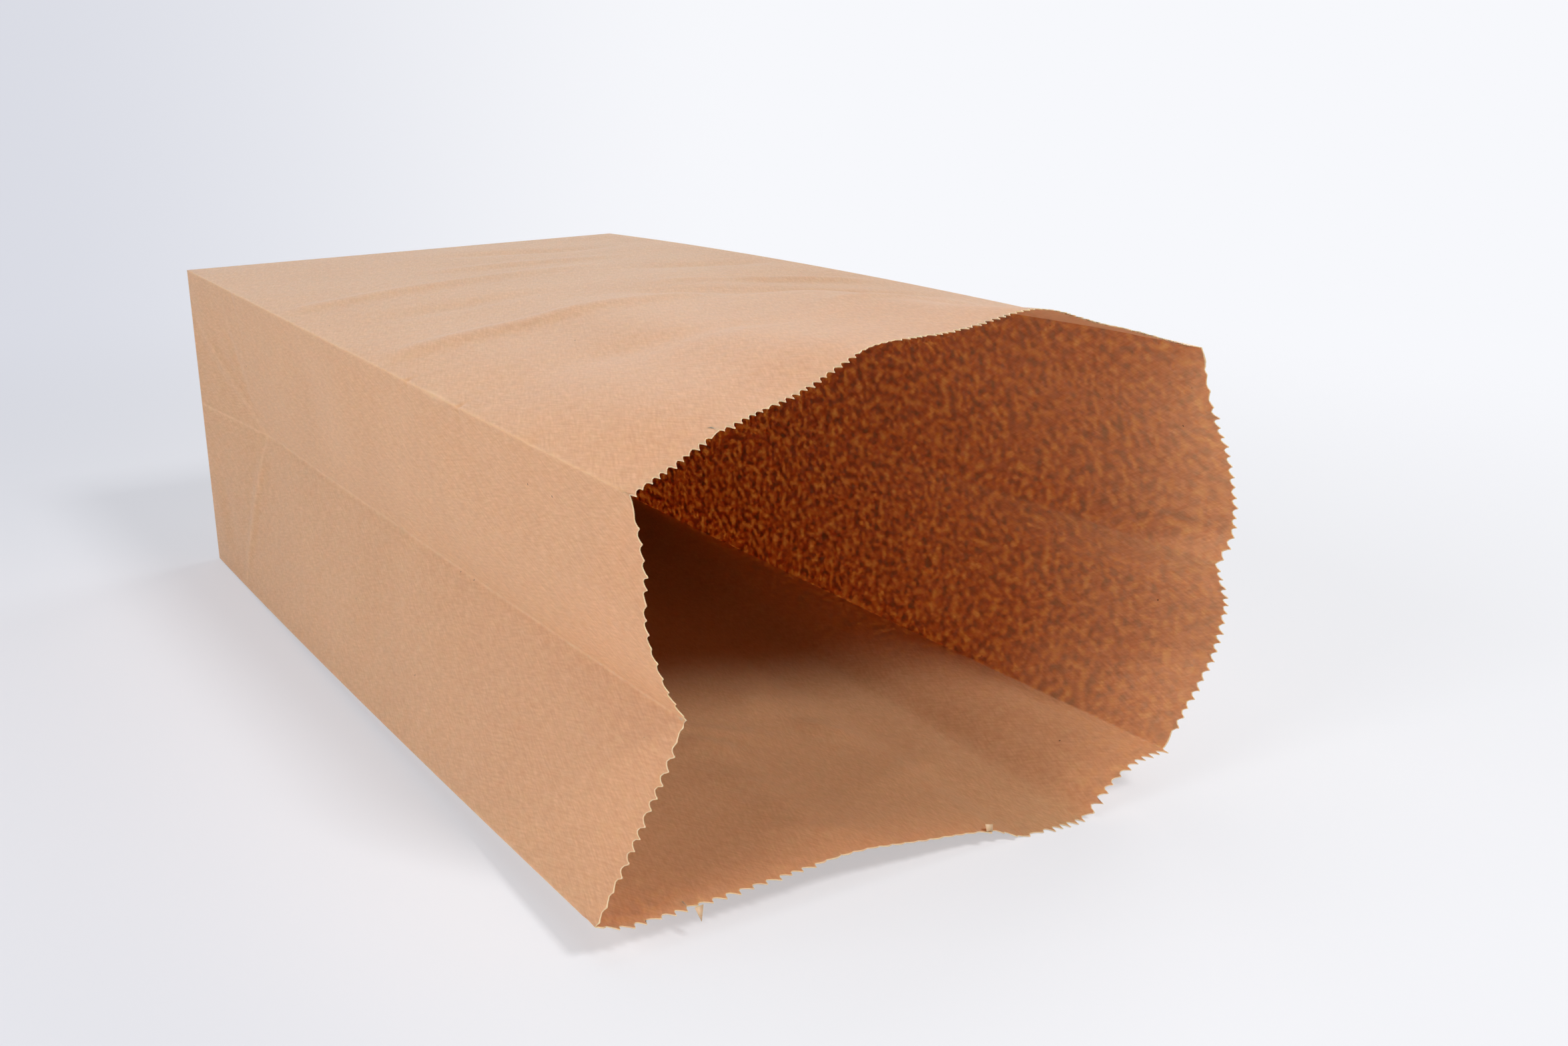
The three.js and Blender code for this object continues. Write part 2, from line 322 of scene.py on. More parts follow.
def markHeight(panel, across, along):  # creases, dents and ripple, outwards from the paper
    height = np.zeros(np.broadcast(across, along).shape)
    for name, start, end, rise, reach in paperMarks:
        if name != panel:
            continue
        apart, k = lineApart(across, along, start, end)
        ends = np.sin(math.pi * np.clip(k, 0.02, 0.98)) ** 0.5
        height += rise * ends * np.exp(-((apart / reach) ** 2) * 1.6)
    chance = np.random.default_rng(paperRipple["seed"] + list(panelWidths).index(panel))
    for _ in range(paperRipple["count"]):
        wave = chance.uniform(paperRipple["shortest"], paperRipple["longest"])
        heading, phase = chance.uniform(0, math.pi), chance.uniform(0, 2 * math.pi)
        turn = (across * math.cos(heading) + along * math.sin(heading)) * 2 * math.pi / wave
        height += paperRipple["height"] * wave / paperRipple["longest"] * np.sin(turn + phase) / 2
    width = panelWidths[panel]
    nearFold = np.minimum(across, width - across)
    return height * smoothStep(0, markFade["folds"], nearFold) * smoothStep(0, markFade["bottom"], along)


def markedPoint(panel, q, along):  # the same point with its creases, dents and ripple
    q, along = np.broadcast_arrays(np.asarray(q, float), np.asarray(along, float))
    step = 0.2
    share = step / panelWidths[panel]
    flat = sheetPoint(panel, q, along)
    side = sheetPoint(panel, np.clip(q + share, 0, 1), along) - sheetPoint(panel, np.clip(q - share, 0, 1), along)
    ahead = sheetPoint(panel, q, along + step) - sheetPoint(panel, q, np.maximum(along - step, 0))
    outward = np.cross(ahead, side)
    outward /= np.linalg.norm(outward, axis=-1, keepdims=True)
    marked = flat + outward * markHeight(panel, q * panelWidths[panel], along)[..., None]
    if panel in ("upper", "leftUpper"):
        fromFold = q * panelWidths[panel] if panel == "upper" else (1 - q) * panelWidths[panel]
        for at, deep, reach in foldNicks:
            dent = deep * np.exp(-((along - at) / reach) ** 2 - (fromFold / 1.6) ** 2)
            marked = marked + dent[..., None] * (0.7, 0, -0.7)
    marked[..., 2] = np.maximum(marked[..., 2], 0)  # the table holds it up
    return marked


def cutOutline(toothBase):  # the cut edge on the flat sheet: outline of the teeth, and a line just inside it
    chance = np.random.default_rng(cutEdge["seed"])
    outline, inner, panel, begin = [], [], None, 0.0
    band = cutEdge["paleBand"]
    for name, end, count, depth, tip in cutEdge["stretches"]:
        begin = 0.0 if name != panel else begin
        pitch = (end - begin) / count
        stations = begin + pitch * np.arange(count)
        stations[1:] += chance.uniform(-cutEdge["unevenPitch"], cutEdge["unevenPitch"], count - 1) * pitch
        widths = np.diff(np.append(stations, end))
        panel, begin = name, end
        for start, wide in zip(stations + panelStarts[name], widths):
            tall = depth * chance.choice(cutEdge["toothSizes"], p=cutEdge["toothOdds"])
            low = chance.uniform(*cutEdge["notches"]) + cutEdge["wornRise"] * (depth < cutEdge["wornDepth"])
            peak = tip + chance.uniform(-cutEdge["unevenTip"], cutEdge["unevenTip"])
            shape = [(0.06 + peak * 0.4, 0.3), (0.03 + peak * 0.8, 0.78), (peak + 0.02, 1), (peak + 0.1, 0.95)]
            shape += [(mixed(peak, 1, 0.36), 0.56), (mixed(peak, 1, 0.7), 0.18)]
            outline.append((start, toothBase))
            inner.append((start, toothBase - band))
            middle = np.array((start + wide * mixed(peak, 0.5, 0.6), toothBase + 0.25 * tall))
            shrink = np.array((max(0.25, 1 - 2.2 * band / wide), max(0.2, 1 - 1.5 * band / max(tall, 0.3))))
            for e, h in shape:
                ragged = chance.uniform(-cutEdge["ragged"], cutEdge["ragged"], 2) * (1, min(1, depth))
                spot = np.array((start + e * wide, toothBase + low + h * tall)) + ragged
                outline.append(tuple(spot))
                inner.append(tuple(middle + (spot - middle) * shrink - (0, band * 0.5)))
            for at, across, deep in cutEdge["slits"]:  # a short tear running back from the notch
                if at == name and start <= across + panelStarts[name] < start + wide:
                    foot = start + wide
                    tear = foot - 0.16
                    outline += [(foot - 0.2, toothBase), (tear, toothBase - deep), (foot - 0.05, toothBase - 0.1)]
                    behind = toothBase - band
                    inner += [(foot - 0.3, behind), (tear, toothBase - deep - band), (foot - 0.02, behind)]
    return np.array(outline), np.array(inner)


def onPaper(places):  # flat sheet position to space
    wrapped = np.mod(places[:, 0], girth)
    result = np.zeros((len(places), 3))
    for name, width in panelWidths.items():
        mine = (wrapped >= panelStarts[name]) & (wrapped < panelStarts[name] + width)
        result[mine] = markedPoint(name, (wrapped[mine] - panelStarts[name]) / width, places[mine, 1])
    return result


class PaperMesh:  # gathers points, faces and where each face corner lies on the flat sheet
    def __init__(self):
        self.points, self.wearAndHighlight, self.edge = np.zeros((0, 3)), np.zeros(0), np.zeros(0)
        self.faces, self.places = [], []

    def addPoints(self, points, wearAndHighlight=0.0, edge=0.0):
        shape = np.shape(points)[:-1]
        first = len(self.points)
        self.points = np.concatenate((self.points, np.reshape(points, (-1, 3))))
        self.wearAndHighlight = np.concatenate((self.wearAndHighlight, np.broadcast_to(wearAndHighlight, shape).ravel()))
        self.edge = np.concatenate((self.edge, np.broadcast_to(edge, shape).ravel()))
        return first + np.arange(len(self.points) - first).reshape(shape)

    def addFaces(self, corners, places):
        self.faces += [list(map(int, c)) for c in corners]
        self.places += [np.array(p, float) for p in places]

    def addGrid(self, index, places, flip=False):
        order = [(0, 0), (1, 0), (1, 1), (0, 1)][:: -1 if flip else 1]
        down, side = index.shape[0] - 1, index.shape[1] - 1
        corners = np.stack([index[a : a + down, b : b + side] for a, b in order], -1)
        spots = np.stack([places[a : a + down, b : b + side] for a, b in order], -2)
        self.addFaces(corners.reshape(-1, 4), spots.reshape(-1, 4, 2))

    def normals(self):  # mean normal of each point, shorter where the paper folds
        total, weight = np.zeros_like(self.points), np.zeros(len(self.points))
        corners = np.array([c for f in self.faces for c in zip(f, f[1:] + f[:1], f[-1:] + f[:-1])])
        here, ahead, back = (self.points[corners[:, i]] for i in range(3))
        one, two = ahead - here, back - here
        one /= np.linalg.norm(one, axis=1, keepdims=True) + 1e-12
        two /= np.linalg.norm(two, axis=1, keepdims=True) + 1e-12
        angle = np.arccos(np.clip((one * two).sum(1), -1, 1))
        facing = np.cross(one, two)
        facing /= np.linalg.norm(facing, axis=1, keepdims=True) + 1e-12
        np.add.at(total, corners[:, 0], facing * angle[:, None])
        np.add.at(weight, corners[:, 0], angle)
        return total / np.maximum(weight[:, None], 1e-9)


def spacedOut(length, step, near=(0.45, 1.1, 2.2)):  # stations close together at both folds, even between
    middle = np.linspace(near[-1], length - near[-1], max(2, round((length - 2 * near[-1]) / step) + 1))[1:-1]
    return np.concatenate(([0, *near], middle, length - np.array([0, *near])[::-1]))


# paleness falling off from a fold: worn fibres plus a painted highlight along the fold
def foldWearAndHighlight(apart):
    return np.exp(-apart / 0.6)


# Bottom panel: two glued flaps, folded over from the broad faces, the lower one outside
bottomPanel = {
    "sag": -0.8,
    "sagReach": 40,  # from the panel's edges to its full sag
    "flapHeight": 61.0,
    "flapGap": 0.05,
    "flapRoot": 0.6,  # from the panel's edge to where a flap starts
    "flapSides": (1.2, 3),  # how far its sides stay in at the root, and out at the free edge
    "lift": 0.5,  # of a flap's free edge
    "paleRim": 0.6,
}


def borderApart(x, z):  # distance from the edges of the bottom panel
    return np.minimum(np.minimum(x + halfWidth, halfWidth - x), np.minimum(z, bagDepth - z))


def panelSag(apart):
    return bottomPanel["sag"] * smoothStep(0, bottomPanel["sagReach"], apart)


def buildOuterSide():
    sheet = PaperMesh()
    broad = spacedOut(bagShape["width"], 2.35) / bagShape["width"]
    half = spacedOut(junctionAt, 1.8) / junctionAt
    toothBase = bagLength - cutEdge["toothDepth"]
    rows = np.concatenate((half * junctionAt, np.linspace(junctionAt, toothBase - cutEdge["rowsEnd"], 98)[1:]))
    closeBy = [at + k * reach for at, _, reach in foldNicks if reach < 2 for k in (-1.6, -0.8, 0, 0.8, 1.6)]
    rows = np.sort(np.concatenate((rows[[all(abs(r - n) > 0.5 for n in closeBy) for r in rows]], closeBy)))

    # long rows, each one closed ring; a panel leaves its last station to the next
    points, across, wearAndHighlight = [], [], []
    for name, width in panelWidths.items():
        shares = (broad if width > junctionAt else half)[:-1]
        points.append(markedPoint(name, shares[None], rows[:, None]))
        across.append(panelStarts[name] + shares * width)
        # pale at the folds and the bottom edge: worn fibres plus a painted highlight
        paleWearAndHighlight = np.maximum(foldWearAndHighlight(np.minimum(shares, 1 - shares) * width)[None], foldWearAndHighlight(rows)[:, None])
        # painted highlight along the bottom creases of the left gusset
        if name in paintedCreaseHighlights:
            apart, _ = lineApart(shares[None] * width, rows[:, None], *paintedCreaseHighlights[name])
            paleWearAndHighlight = np.maximum(paleWearAndHighlight, 0.8 * np.exp(-apart / 1.3))
        wearAndHighlight.append(paleWearAndHighlight)
    across, ringWearAndHighlight = np.concatenate(across), np.concatenate(wearAndHighlight, axis=1)
    topLeft = np.minimum(across, girth - across)
    ringWearAndHighlight = ringWearAndHighlight + np.exp(-((rows[:, None] - foldScuff[0]) / foldScuff[1]) ** 2 - topLeft[None] / 1.6)
    index = sheet.addPoints(np.concatenate(points, axis=1), ringWearAndHighlight)
    closed = np.concatenate((index, index[:, :1]), axis=1)
    closedAcross = np.append(across, girth)
    places = np.stack(np.broadcast_arrays(closedAcross[None], rows[:, None]), -1)
    sheet.addGrid(closed, places)

    # bottom panel: a grid whose border is the first ring
    sideways, down = len(broad), 2 * len(half) - 1
    ring = closed[0]
    bottom = np.zeros((down, sideways), int)
    cornerRight, cornerLow, cornerLeft = sideways - 1, sideways - 1 + down - 1, 2 * (sideways - 1) + down - 1
    bottom[0] = ring[: cornerRight + 1]
    bottom[:, -1] = ring[cornerRight : cornerLow + 1]
    bottom[-1] = ring[cornerLow : cornerLeft + 1][::-1]
    bottom[:, 0] = ring[cornerLeft:][::-1]
    left, right = sheet.points[bottom[:, :1]], sheet.points[bottom[:, -1:]]
    flat = mixed(left, right, broad[None, :, None])
    edgeApart = borderApart(flat[..., 0], flat[..., 2])
    flat[..., 1] += panelSag(edgeApart)
    # the bottom panel's edges pale too: worn fibres plus a painted highlight
    bottom[1:-1, 1:-1] = sheet.addPoints(flat[1:-1, 1:-1], foldWearAndHighlight(edgeApart[1:-1, 1:-1]))
    sheet.addGrid(bottom, np.stack((flat[..., 0] + halfWidth, -flat[..., 2] - 20), -1), flip=True)

    # cut edge: a fine line behind the teeth, a line just inside them, and their outline
    outline, inner = cutOutline(toothBase)
    count = len(outline)
    wide = np.concatenate((outline[-5:, 0] - girth, outline[:, 0], outline[:5, 0] + girth))
    # evened out over more than a tooth, so that it only runs forwards
    even = np.mean([wide[k : k + count] for k in range(11)], axis=0)
    forwards = np.maximum.accumulate(even) + np.arange(count) * 1e-4
    plain = np.stack((forwards, np.full(count, toothBase - cutEdge["fineBand"])), 1)
    lines = [(plain, 0.0), (inner, 0.0), (outline, 1.0)]
    fine = [sheet.addPoints(onPaper(line), 0.0, edge) for line, edge in lines]
    laps = [np.vstack((line, line[:1] + (girth, 0))) for line, _ in lines]
    index = np.stack([np.append(f, f[0]) for f in fine])
    sheet.addGrid(index, np.stack(laps))
    last, lastPlaces = closed[-1], places[-1]
    i = k = 0
    while i < len(last) - 1 or k < len(plain):
        stepRing = k == len(plain) or (i < len(last) - 1 and lastPlaces[i + 1, 0] <= laps[0][k + 1, 0])
        if stepRing:
            sheet.addFaces([(last[i], index[0, k], last[i + 1])], [(lastPlaces[i], laps[0][k], lastPlaces[i + 1])])
            i += 1
        else:
            sheet.addFaces([(last[i], index[0, k], index[0, k + 1])], [(lastPlaces[i], laps[0][k], laps[0][k + 1])])
            k += 1
    return sheet, fine[2], laps[2]


def addFlap(sheet, fromTop, level, placeShift):
    tall, rowsDown, columns = bottomPanel["flapHeight"], 15, 41
    v = np.linspace(0, 1, rowsDown)[:, None]
    u = np.linspace(-1, 1, columns)[None]
    inset, spare = bottomPanel["flapSides"]
    x = u * (halfWidth - inset - (tall - spare) * v)
    z = np.broadcast_to(bottomPanel["flapRoot"] + tall * v, x.shape)
    y = bagLength / 2 + panelSag(borderApart(x, z)) + level + bottomPanel["lift"] * v**4 * (1 - u**2)
    if fromTop:
        z = bagDepth - z
    outer = np.stack((x, y, z), -1)
    innerSide = outer - (0, bagShape["thickness"], 0)
    rim = np.zeros(x.shape)
    rim[-1] = rim[:, 0] = rim[:, -1] = bottomPanel["paleRim"]
    front, back = sheet.addPoints(outer, 0.0, rim), sheet.addPoints(innerSide, 0.0, rim)
    places = np.stack((x + halfWidth + placeShift, z), -1)
    sheet.addGrid(front, places, flip=fromTop)
    sheet.addGrid(back, places + (0, 120), flip=not fromTop)
    border = [(0, i) for i in range(columns)] + [(j, columns - 1) for j in range(1, rowsDown)]
    border += [(rowsDown - 1, i) for i in range(columns - 2, -1, -1)] + [(j, 0) for j in range(rowsDown - 2, 0, -1)]
    for a, b in zip(border, border[1:] + border[:1]):
        corners = (front[a], back[a], back[b], front[b])
        sheet.addFaces([corners if fromTop else corners[::-1]], [(places[a], places[a], places[b], places[b])])


# Torn tags at the lower lip: two roots on the flat lower panel (mm across, mm behind the edge),
# and how far each of the other corners reaches from its root
tornTags = [
    ((130.7, 0.9), (132.9, 0.7), [(0.9, -1.2, -2.9)]),
    ((53.2, 1.4), (54.9, 1.2), [(-0.3, 0.3, 2.1), (0.2, 0.2, 1.8)]),
]


def addTag(sheet, rootA, rootB, reaches):
    spots = [(panelStarts["lower"] + across, bagLength - behind) for across, behind in (rootA, rootB)]
    roots = onPaper(np.array(spots))
    corners = np.array([roots[0], roots[1]] + [roots[1 - i] + reach for i, reach in enumerate(reaches)])
    facing = np.cross(corners[1] - corners[0], corners[2] - corners[0])
    facing *= bagShape["thickness"] / np.linalg.norm(facing)
    near, far = sheet.addPoints(corners + facing / 2, 0.0, 1.0), sheet.addPoints(corners - facing / 2, 0.0, 1.0)
    spot, count = np.tile((panelStarts["lower"] + rootA[0], bagLength), (4, 1)), len(corners)
    sheet.addFaces([near, far[::-1]], [spot[:count]] * 2)
    for k in range(count):
        n = (k + 1) % count
        sheet.addFaces([(near[k], far[k], far[n], near[n])], [spot])


def buildBag():
    sheet, rim, rimPlaces = buildOuterSide()
    outerCount, outerFaces = len(sheet.points), list(zip(sheet.faces, sheet.places))
    mean = sheet.normals()
    length = np.maximum(np.linalg.norm(mean, axis=1, keepdims=True), 1e-9)
    inside = sheet.points - mean / length * bagShape["thickness"] / np.clip(length, 0.55, 1)
    # the inner side gets a weaker copy of the fold paleness and painted highlight
    sheet.addPoints(inside, sheet.wearAndHighlight * 0.4, sheet.edge.copy())
    turned = [[c + outerCount for c in f[::-1]] for f, _ in outerFaces]
    sheet.addFaces(turned, [p[::-1] + (0, 400) for _, p in outerFaces])  # moved on the sheet, for fibres of its own
    for k in range(len(rim)):
        a, b = rim[k], rim[(k + 1) % len(rim)]
        sheet.addFaces([(a, a + outerCount, b + outerCount, b)], [rimPlaces[[k, k, k + 1, k + 1]]])
    addFlap(sheet, True, bottomPanel["flapGap"] + bagShape["thickness"], 200)
    addFlap(sheet, False, 2 * (bottomPanel["flapGap"] + bagShape["thickness"]), 400)
    for tag in tornTags:
        addTag(sheet, *tag)

    # the solid's own place in the frame
    shift = np.array((cadLow.x * 1000 + halfWidth, cadHigh.y * 1000 - bagLength / 2, 0))
    mesh = bpy.data.meshes.new("paperBag")
    mesh.from_pydata(((sheet.points + shift) / 1000).tolist(), [], sheet.faces)
    flatPlaces = np.concatenate(sheet.places)
    mesh.uv_layers.new(name="sheet").data.foreach_set("uv", (flatPlaces / 1000).astype(np.float32).ravel())
    # the fold attribute carries worn-fibre paleness and painted highlight along folds and creases
    for name, values in (("cutEdge", sheet.edge), ("foldWearAndHighlight", sheet.wearAndHighlight)):
        mesh.attributes.new(name, "FLOAT", "POINT").data.foreach_set("value", values.astype(np.float32))
    mesh.shade_smooth()
    mesh.validate()
    bag = bpy.data.objects.new("paperBag", mesh)
    bpy.context.scene.collection.objects.link(bag)
    return bag


paperBag = buildBag()
bagFaces = paperBag.data.polygons
print("bag folded:", len(bagFaces), "faces,", sum(len(p.vertices) - 2 for p in bagFaces), "triangles")


def linear(hexColour):  # sRGB hex to scene linear
    parts = [int(hexColour[i : i + 2], 16) / 255 for i in (1, 3, 5)]
    return [p / 12.92 if p <= 0.04045 else ((p + 0.055) / 1.055) ** 2.4 for p in parts] + [1.0]


def addNode(tree, kind, inputs=None, **settings):  # each input is another node's socket or a plain value
    node = tree.nodes.new(kind)
    for name, value in settings.items():
        setattr(node, name, value)
    for socket, value in (inputs or {}).items():
        if isinstance(value, bpy.types.NodeSocket):
            tree.links.new(value, node.inputs[socket])
        else:
            node.inputs[socket].default_value = value
    return node


def addMath(tree, operation, *inputs):
    return addNode(tree, "ShaderNodeMath", dict(enumerate(inputs)), operation=operation).outputs[0]


def addRange(tree, source, span, result=(0.0, 1.0), **settings):  # maps one span of values onto another
    inputs = dict(enumerate((source, *span, *result)))
    return addNode(tree, "ShaderNodeMapRange", inputs, **settings).outputs[0]


def addMix(tree, share, first, second):  # blends two colours
    return addNode(tree, "ShaderNodeMix", {0: share, 6: first, 7: second}, data_type="RGBA").outputs[2]


# Unbleached kraft paper, machine glazed on neither side: a warm, flat brown with cloudy fibre flocs,
# fine long fibres, a few dark bark specks, and a thin sheet that glows orange against the light
kraftPaper = {
    "brown": "#d5a278",
    "darkFibre": "#bb865d",
    # also the colour of the painted highlight along folds and creases
    "paleFibreAndHighlight": "#e8ba90",
    "tornEdge": "#e3c49e",
    "speck": "#4a3524",
    "roughness": 0.5,
    "ior": 1.5,
    "floc": (2.0, 3.6),  # mm across and along the sheet
    "blot": (2.3, 3.2),  # thin and thick spots, seen against the light
    "fibre": (0.55, 4.0),  # real fibres are about 0.03 mm wide; drawn this coarse so that they show
    "cloud": 28.0,
    "speckSpacing": 8.0,
    "speckSize": 0.33,
    "glow": 0.00055,  # how far light wanders in the sheet, in metres
    "glowRange": (0.4, 1.7),  # in its thick and thin spots
    "glowTint": (1.0, 0.75, 0.55),  # red wanders furthest
    "felt": 0.00015,  # height of the surface's tooth, in metres
}


def makeKraftPaper():
    paper = kraftPaper
    material = bpy.data.materials.new("kraftPaper")
    material.use_nodes = True
    tree = material.node_tree
    tree.nodes.clear()
    place = addNode(tree, "ShaderNodeUVMap", uv_map="sheet").outputs["UV"]

    def spread(source, wide, long):  # sheet position counted in marks of this size in mm
        counts = {0: source, 1: (1000 / wide, 1000 / long, 1)}
        return addNode(tree, "ShaderNodeVectorMath", counts, operation="MULTIPLY").outputs[0]

    def marks(wide, long, turn=0.0, detail=2.0):  # noise whose blots have this size on the flat sheet
        heading = {"Vector": place, "Angle": math.radians(turn)}
        turned = addNode(tree, "ShaderNodeVectorRotate", heading, rotation_type="Z_AXIS").outputs[0]
        noise = {"Vector": spread(turned, wide, long), "Scale": 1.0, "Detail": detail, "Roughness": 0.6}
        return addNode(tree, "ShaderNodeTexNoise", noise).outputs[0]

    floc = marks(*paper["floc"], detail=3.0)
    blot = marks(*paper["blot"])
    cloud = marks(paper["cloud"], paper["cloud"], detail=3.0)
    fibres = addMath(tree, "MULTIPLY", marks(*paper["fibre"], turn=14), marks(*paper["fibre"], turn=-24))

    # colour: brown, streaked by fibres and clouded
    tone = addRange(tree, fibres, (0.1, 0.42))
    streak = addMix(tree, tone, linear(paper["darkFibre"]), linear(paper["paleFibreAndHighlight"]))
    brown = addMix(tree, 0.45, linear(paper["brown"]), streak)
    shade = addRange(tree, addMath(tree, "ADD", cloud, floc), (0.6, 1.4), (0.95, 1.05))
    brown = addNode(tree, "ShaderNodeVectorMath", {0: brown, 3: shade}, operation="SCALE").outputs[0]

    # specked with bark, one cell in two or so
    spacing = paper["speckSpacing"]
    cells = addNode(tree, "ShaderNodeTexVoronoi", {"Vector": spread(place, spacing, spacing), "Scale": 1.0}).outputs
    chance = addNode(tree, "ShaderNodeSeparateColor", {0: cells["Color"]}).outputs[0]
    size = addRange(tree, chance, (0.55, 1.0), (0.0, paper["speckSize"] / spacing))
    speck = addMath(tree, "MULTIPLY", addMath(tree, "LESS_THAN", cells["Distance"], size), 0.75)
    specked = addMix(tree, speck, brown, linear(paper["speck"]))

    # pale along the folds as worn fibres with a painted highlight, and along the left gusset creases as painted
    # highlight; pale also where fibres are torn at the cut edge
    wearAndHighlight = addNode(tree, "ShaderNodeAttribute", attribute_name="foldWearAndHighlight").outputs["Fac"]
    paleWearAndHighlight = addRange(tree, addMath(tree, "MULTIPLY", wearAndHighlight, floc), (0.12, 0.5), (0.0, 0.6))
    wornAndHighlit = addMix(tree, paleWearAndHighlight, specked, linear(paper["paleFibreAndHighlight"]))
    edge = addNode(tree, "ShaderNodeAttribute", attribute_name="cutEdge").outputs["Fac"]
    colour = addMix(tree, addRange(tree, edge, (0.25, 0.6)), wornAndHighlit, linear(paper["tornEdge"]))

    # light through the sheet is blotched by its thin spots; the surface has a faint felt tooth
    glow = addRange(tree, blot, (0.36, 0.66), [paper["glow"] * k for k in paper["glowRange"]])
    matt = addRange(tree, floc, (0.2, 0.8), (paper["roughness"] - 0.06, paper["roughness"] + 0.06))
    felt = addMath(tree, "MULTIPLY_ADD", floc, 0.5, fibres)
    bump = addNode(tree, "ShaderNodeBump", {"Height": felt, "Strength": 0.25, "Distance": paper["felt"]}).outputs[0]
    sheet = {
        "Base Color": colour,
        "Roughness": matt,
        "Normal": bump,
        "IOR": paper["ior"],
        "Subsurface Weight": 1.0,
        "Subsurface Radius": paper["glowTint"],
        "Subsurface Scale": glow,
    }
    shader = addNode(tree, "ShaderNodeBsdfPrincipled", sheet, subsurface_method="RANDOM_WALK")
    addNode(tree, "ShaderNodeOutputMaterial", {"Surface": shader.outputs[0]})
    return material


paperBag.data.materials.append(makeKraftPaper())
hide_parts("paper_bag")
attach(paperBag, "root")
print("kraft paper made")

# Studio: a wide white paper floor, a lamp high in front on the right, two softboxes on the left,
# and one each on the right, overhead and behind
studio = {
    "floor": "#f4f5f9",
    "backdrop": ("#d9dbe4", "#f7f8fc"),  # far left, darker as painted shade; far right
    "backdropTurn": (4, 30),  # degrees clockwise from +Y between the two
    "backdropEnd": ((0.25, 0.75), (1.0, 0.3)),  # it dims overhead, by the height of the view
    "floorHalf": 8.0,
    "floorDrop": 0.0002,  # just under the paper that rests on it
    "sweep": ((0.1, 0.75), (0.5, 1.0)),  # metres from the bag, and how far the floor has become backdrop
    "room": (0.0, 0.0, 0.0, 1.0),
    "lamps": {  # place, aim, width and height in metres, watts
        "keyLamp": ((0.27, -1.12, 1.15), (0.02, -0.12, 0), (0.3, 0.3), 13.6),
        "leftSoftbox": ((-0.80, -0.33, 0.42), (-0.08, -0.08, 0.05), (0.35, 0.5), 2.5),
        "leftFill": ((-0.85, 0.0, 0.38), (-0.08, 0, 0.05), (0.6, 0.6), 2.3),
        "rightSoftbox": ((0.90, 0.35, 0.45), (0.08, 0.05, 0.05), (0.5, 0.5), 3.4),
        "overhead": ((0.0, 0.1, 1.2), (0, 0, 0.1), (1.0, 1.0), 3.0),
        "backSoftbox": ((0.2, 1.2, 0.7), (0, 0.1, 0.1), (1.0, 0.7), 2.2),
    },
}


def backdropWithPaintedShade(tree, towards):  # the pale backdrop, with painted shade darkening it to the left
    parts = addNode(tree, "ShaderNodeSeparateXYZ", {0: towards}).outputs
    heading = addMath(tree, "ARCTAN2", parts[0], parts[1])
    turn = [math.radians(k) for k in studio["backdropTurn"]]
    left, right = (linear(tone) for tone in studio["backdrop"])
    return addMix(tree, addRange(tree, heading, turn, interpolation_type="SMOOTHSTEP"), left, right)


def seenRay(tree):  # 1 for what is looked at, mirrored or seen through something; 0 for light on its way
    path = addNode(tree, "ShaderNodeLightPath").outputs
    seen = addMath(tree, "MAXIMUM", path["Is Camera Ray"], path["Is Glossy Ray"])
    return addMath(tree, "MAXIMUM", seen, path["Is Transmission Ray"])


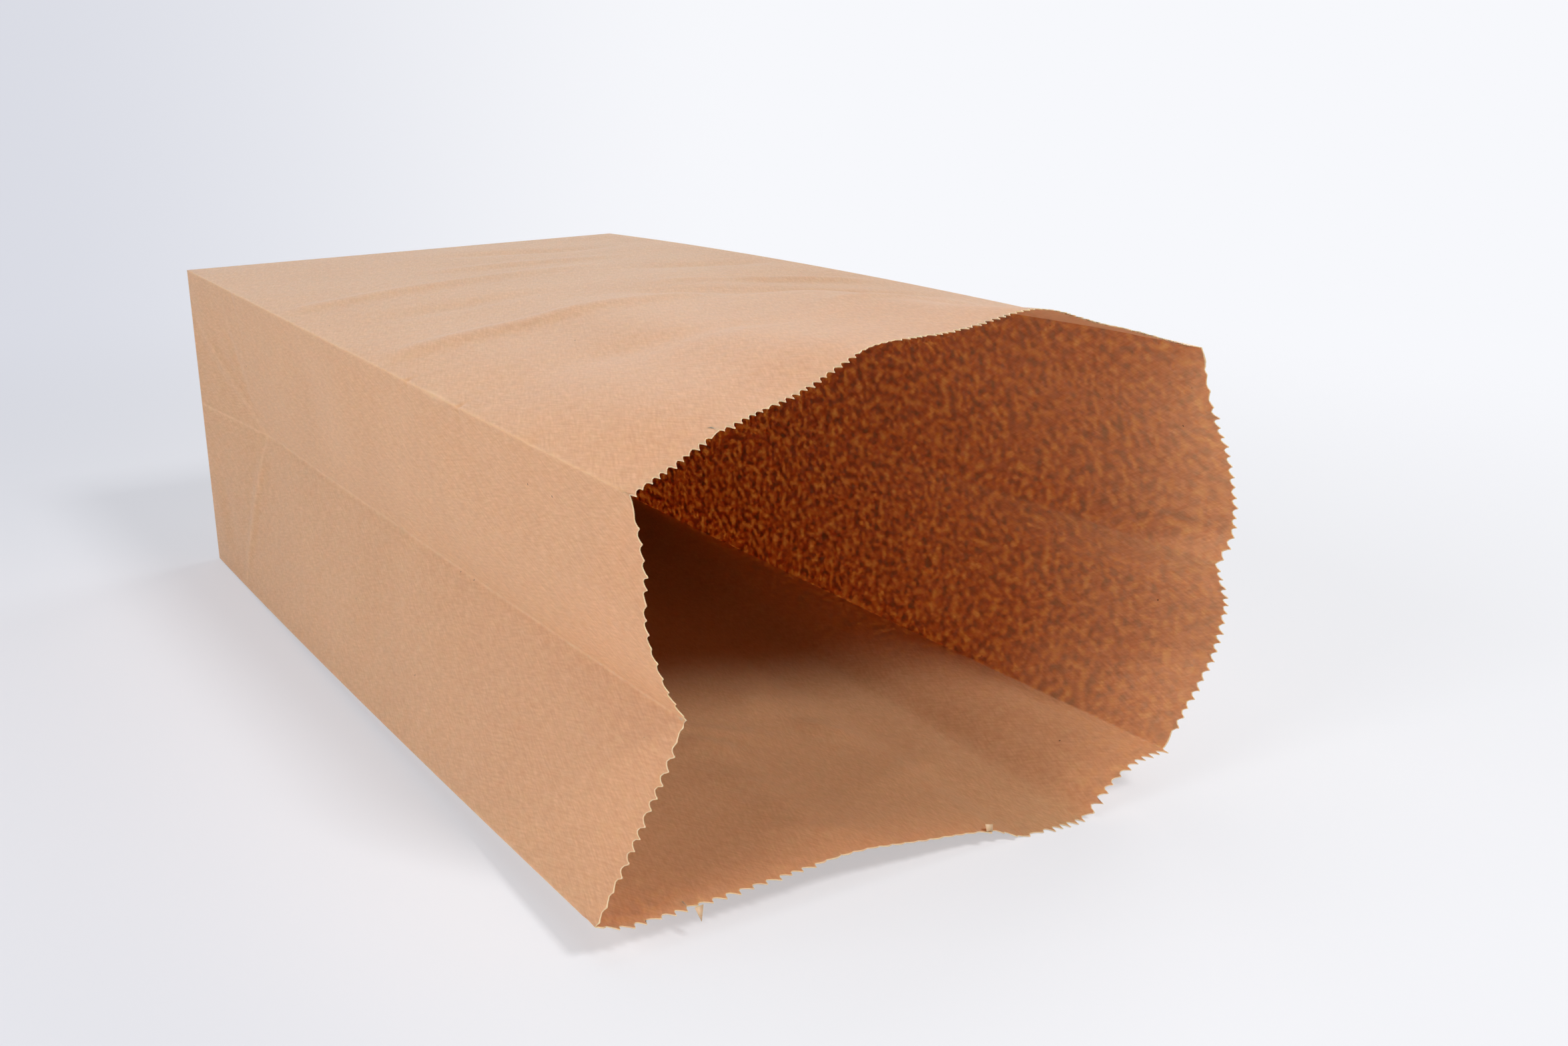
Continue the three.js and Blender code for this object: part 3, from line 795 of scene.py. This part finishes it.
def makePaperSweep():  # matt white paper that runs out into a pale backdrop with painted shade to the left
    white = bpy.data.materials.new("whitePaperSweep")
    white.use_nodes = True
    tree = white.node_tree
    tree.nodes.clear()
    place = addNode(tree, "ShaderNodeNewGeometry").outputs["Position"]
    far = addNode(tree, "ShaderNodeVectorMath", {0: place}, operation="LENGTH").outputs["Value"]
    far = addRange(tree, far, *studio["sweep"], interpolation_type="SMOOTHERSTEP")
    seen = addMath(tree, "MULTIPLY", seenRay(tree), far)
    fromPhoto = {0: place, 1: photoView["place"]}
    apart = addNode(tree, "ShaderNodeVectorMath", fromPhoto, operation="SUBTRACT").outputs[0]
    matt = addNode(tree, "ShaderNodeBsdfDiffuse", {"Color": linear(studio["floor"])}).outputs[0]
    # the backdrop colour seen far out, with its painted shade on the left
    even = addNode(tree, "ShaderNodeEmission", {"Color": backdropWithPaintedShade(tree, apart)}).outputs[0]
    sweep = addNode(tree, "ShaderNodeMixShader", {0: seen, 1: matt, 2: even}).outputs[0]
    addNode(tree, "ShaderNodeOutputMaterial", {"Surface": sweep})
    return white


def addFloor():
    half = studio["floorHalf"]
    corners = [(-half, -half, 0), (half, -half, 0), (half, half, 0), (-half, half, 0)]
    mesh = bpy.data.meshes.new("paperFloor")
    mesh.from_pydata(corners, [], [(0, 1, 2, 3)])
    mesh.materials.append(makePaperSweep())
    floor = bpy.data.objects.new("paperFloor", mesh)
    floor.location.z = -studio["floorDrop"]
    bpy.context.scene.collection.objects.link(floor)


def addLamps():
    for name, (place, aim, size, watts) in studio["lamps"].items():
        data = bpy.data.lights.new(name, "AREA")
        data.shape, data.size, data.size_y, data.energy = "RECTANGLE", size[0], size[1], watts
        lamp = bpy.data.objects.new(name, data)
        lamp.location = place
        lamp.rotation_euler = (Vector(aim) - Vector(place)).to_track_quat("-Z", "Y").to_euler()
        bpy.context.scene.collection.objects.link(lamp)


def addBackdrop():
    world = bpy.data.worlds.new("softRoom")
    world.use_nodes = True
    tree = world.node_tree
    tree.nodes.clear()
    towards = addNode(tree, "ShaderNodeTexCoord").outputs["Generated"]
    height = addNode(tree, "ShaderNodeSeparateXYZ", {0: towards}).outputs[2]
    seenAs = {"Color": backdropWithPaintedShade(tree, towards), "Strength": addRange(tree, height, *studio["backdropEnd"])}
    backdrop = addNode(tree, "ShaderNodeBackground", seenAs).outputs[0]
    room = addNode(tree, "ShaderNodeBackground", {"Color": studio["room"]}).outputs[0]
    light = addNode(tree, "ShaderNodeMixShader", {0: seenRay(tree), 1: room, 2: backdrop}).outputs[0]
    addNode(tree, "ShaderNodeOutputWorld", {"Surface": light})
    bpy.context.scene.world = world


addFloor()
addLamps()
addBackdrop()
bpy.context.scene.view_settings.view_transform = "Standard"
print("studio lit")
